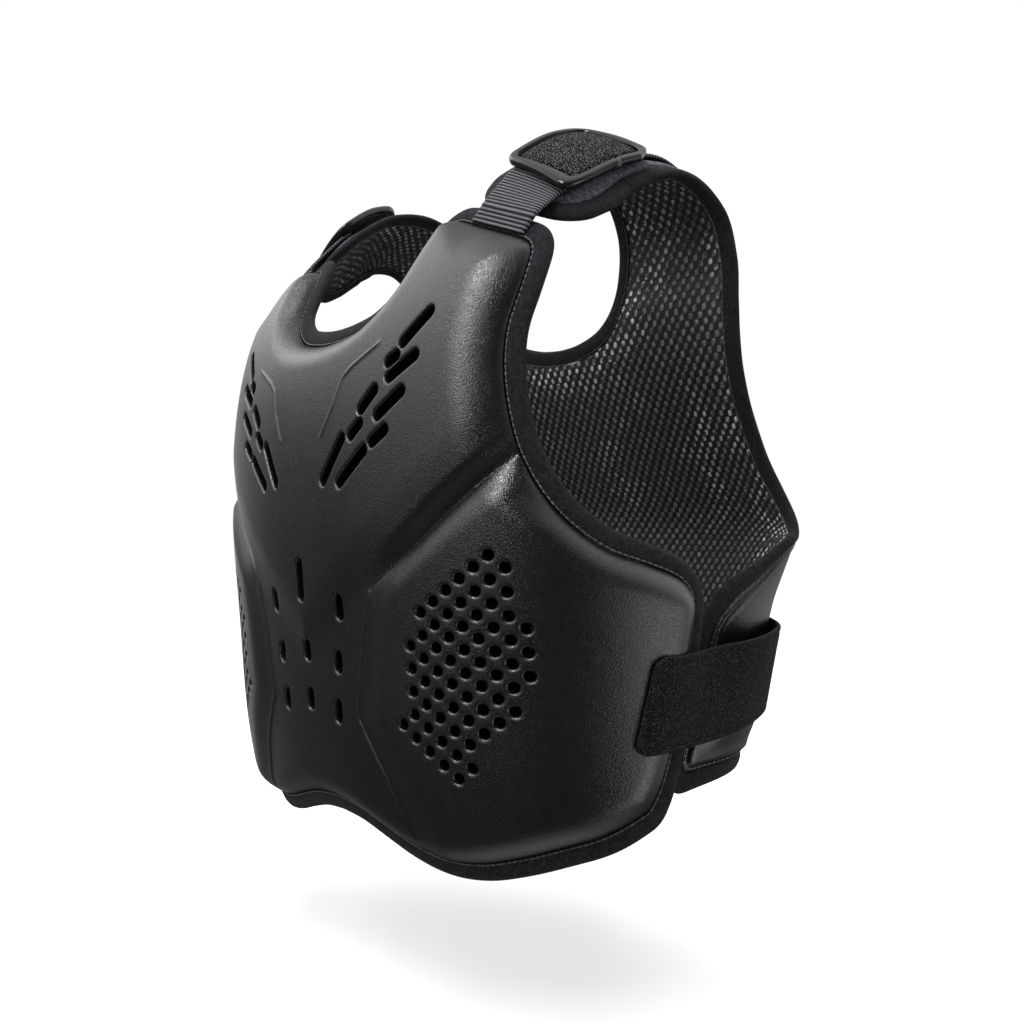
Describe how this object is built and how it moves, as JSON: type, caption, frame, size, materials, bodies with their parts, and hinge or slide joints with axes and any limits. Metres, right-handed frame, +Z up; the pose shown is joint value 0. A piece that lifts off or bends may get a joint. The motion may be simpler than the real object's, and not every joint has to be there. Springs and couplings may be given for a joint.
{
  "type": "boxing chest protector",
  "caption": "Moulded, vented chest plate and padded mesh-lined back for boxing, bound with tape and joined by shoulder webbing with ring buckles and wide side straps.",
  "frame": {"origin": "between the wearer's shoulders, on the centre plane, a little under the crown of the shoulder straps", "axes": "+Z up, +X to the wearer's left, -Y to the front, so that the chest plate faces -Y"},
  "size_m": [0.4158, 0.2813, 0.4272],
  "materials": {
    "leather": "fine-grained black synthetic leather, satin",
    "mesh_lining": "black open spacer mesh with a slight sheen",
    "edge_tape": "charcoal woven tape, matt",
    "webbing": "black ribbed polypropylene webbing",
    "loop_fabric": "black brushed loop fabric, matt",
    "buckle": "glossy black plastic"
  },
  "bodies": {
    "root": {"front_shell": "leather", "front_lining": "mesh_lining", "front_binding": "edge_tape", "back_pad": "leather", "back_lining": "mesh_lining", "back_binding": "edge_tape", "shoulder_cover_left": "edge_tape", "shoulder_cover_right": "edge_tape", "shoulder_webbing_left": "webbing", "shoulder_webbing_right": "webbing", "ring_buckle_left": "buckle", "ring_buckle_right": "buckle", "loop_pad_left": "loop_fabric", "loop_pad_right": "loop_fabric", "keeper_strap_left": "webbing", "keeper_strap_right": "webbing", "side_strap_left": "loop_fabric", "side_strap_right": "loop_fabric"}
  },
  "joints": []
}
